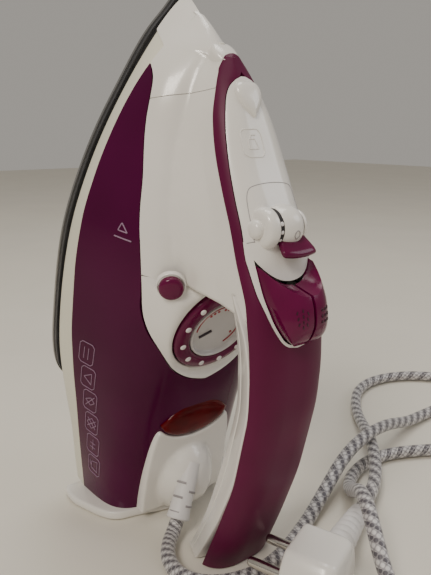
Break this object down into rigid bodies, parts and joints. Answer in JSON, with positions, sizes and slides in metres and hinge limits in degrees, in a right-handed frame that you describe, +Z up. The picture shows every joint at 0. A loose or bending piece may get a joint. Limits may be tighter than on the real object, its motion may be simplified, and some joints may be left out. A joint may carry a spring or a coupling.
{
  "type": "steam iron",
  "caption": "Corded steam iron standing on its heel, with a see-through water tank, tilted dial, twin pump buttons, steam selector and a braided cord with plug.",
  "frame": {"origin": "centre of the heel plate's foot face, on the middle plane", "axes": "+Z up as the iron stands on its heel, +X on the handle's side, +Y to the iron's right"},
  "size_m": [0.2326, 0.3515, 0.2724],
  "materials": {
    "stainless_sole": "brushed stainless sole",
    "cast_aluminium": "die cast, matt",
    "heater_steel": "oxidised tube",
    "black_seal": "matt heat-resistant",
    "cream_skirt": "satin moulded",
    "purple_tank": "tinted translucent gloss",
    "white_gloss": "gloss moulded",
    "purple_soft": "soft satin",
    "purple_gloss": "polished",
    "red_lens": "transparent red",
    "grey_face": "printed dial face",
    "clear_hose": "silicone",
    "spring_steel": "spring wire",
    "inner_plastic": "moulded",
    "glass_lamp": "neon",
    "braid": "textile braid, silver and dark strands",
    "white_rubber": "soft moulded",
    "nickel_pin": "nickel plated brass",
    "silver_trim": "metallised"
  },
  "bodies": {
    "housing": {"soleplate_skin": "stainless_sole", "sole_casting": "cast_aluminium", "heating_element": "heater_steel", "steam_chamber_cover": "heater_steel", "heat_seal": "black_seal", "skirt": "cream_skirt", "water_tank": "purple_tank", "deck_shell": "white_gloss", "nose_shell": "white_gloss", "handle_shell": "purple_soft", "top_cover": "white_gloss", "handle_frame": "white_gloss", "button_frame": "silver_trim", "selector_cheeks": "white_gloss", "steam_valve_seat": "inner_plastic", "spray_pump": "inner_plastic", "burst_pump": "inner_plastic", "spray_spring": "spring_steel", "burst_spring": "spring_steel", "button_axle": "spring_steel", "burst_tube": "clear_hose", "suction_tube": "clear_hose", "spray_hose": "clear_hose", "thermostat": "inner_plastic", "thermostat_spindle": "spring_steel", "thermal_fuse": "inner_plastic", "spray_hood": "white_gloss", "spray_nozzle": "inner_plastic", "filler_neck": "clear_hose", "heel_plate": "white_gloss", "cord_cover": "white_gloss", "lamp_lens": "red_lens", "neon_lamp": "glass_lamp", "cord_guard": "white_rubber", "terminal_block": "inner_plastic", "cable_clamp": "inner_plastic", "lead_wires": "clear_hose", "base_screws": "spring_steel", "cord_lead": "braid", "cord_tail": "braid", "cord_coil": "braid", "plug_body": "white_gloss", "plug_relief": "white_rubber", "plug_pins": "nickel_pin"},
    "dial": {"dial_ring": "purple_gloss", "dial_cap": "grey_face", "dial_shaft": "inner_plastic"},
    "selector": {"selector_drum": "white_gloss", "selector_lever": "purple_gloss"},
    "valve_rod": {"steam_valve_rod": "spring_steel"},
    "spray_trigger": {"spray_button": "purple_gloss"},
    "burst_trigger": {"burst_button": "purple_gloss"},
    "spray_plunger": {"spray_piston": "inner_plastic"},
    "burst_plunger": {"burst_piston": "inner_plastic"},
    "self_clean": {"self_clean_button": "purple_gloss", "self_clean_stem": "inner_plastic"},
    "lid": {"filler_lid": "white_gloss"}
  },
  "joints": [
    {"name": "dial_turn", "type": "hinge", "parent": "housing", "child": "dial", "pos_m": [0.05993, 0, 0.11833], "axis": [0.8973, 0, -0.4415], "range_deg": [-20, 250]},
    {"name": "selector_turn", "type": "hinge", "parent": "housing", "child": "selector", "pos_m": [0.1047, 0, 0.17095], "axis": [0, -1, 0], "range_deg": [0, 55]},
    {"name": "valve_rod_slide", "type": "slide", "parent": "housing", "child": "valve_rod", "axis": [-0.9694, 0, 0.2453], "range_m": [0, 0.003]},
    {"name": "spray_press", "type": "hinge", "parent": "housing", "child": "spray_trigger", "pos_m": [0.10894, 0, 0.12449], "axis": [0, -1, 0], "range_deg": [0, 6.5], "stiffness_Nm_per_rad": 0.25, "springref_deg": -6.88},
    {"name": "burst_press", "type": "hinge", "parent": "housing", "child": "burst_trigger", "pos_m": [0.10894, 0, 0.12449], "axis": [0, -1, 0], "range_deg": [0, 6.5], "stiffness_Nm_per_rad": 0.25, "springref_deg": -6.88},
    {"name": "spray_plunge", "type": "slide", "parent": "housing", "child": "spray_plunger", "axis": [-0.9694, 0, 0.2453], "range_m": [0, 0.0024], "deforming": ["spray_spring"]},
    {"name": "burst_plunge", "type": "slide", "parent": "housing", "child": "burst_plunger", "axis": [-0.9694, 0, 0.2453], "range_m": [0, 0.0024], "deforming": ["burst_spring"]},
    {"name": "self_clean_press", "type": "slide", "parent": "housing", "child": "self_clean", "axis": [-0.8094, 0.5001, 0.308], "range_m": [0, 0.002], "stiffness_N_per_m": 300, "springref_m": -0.003},
    {"name": "filler_lid_open", "type": "hinge", "parent": "housing", "child": "lid", "pos_m": [0.0808, 0, 0.22595], "axis": [0, -1, 0], "range_deg": [0, 60]}
  ],
  "couplings": [
    {"joint": "valve_rod_slide", "follows": "selector_turn", "m_per_rad": 0.002917},
    {"joint": "spray_plunge", "follows": "spray_press", "m_per_rad": 0.018},
    {"joint": "burst_plunge", "follows": "burst_press", "m_per_rad": 0.018}
  ]
}
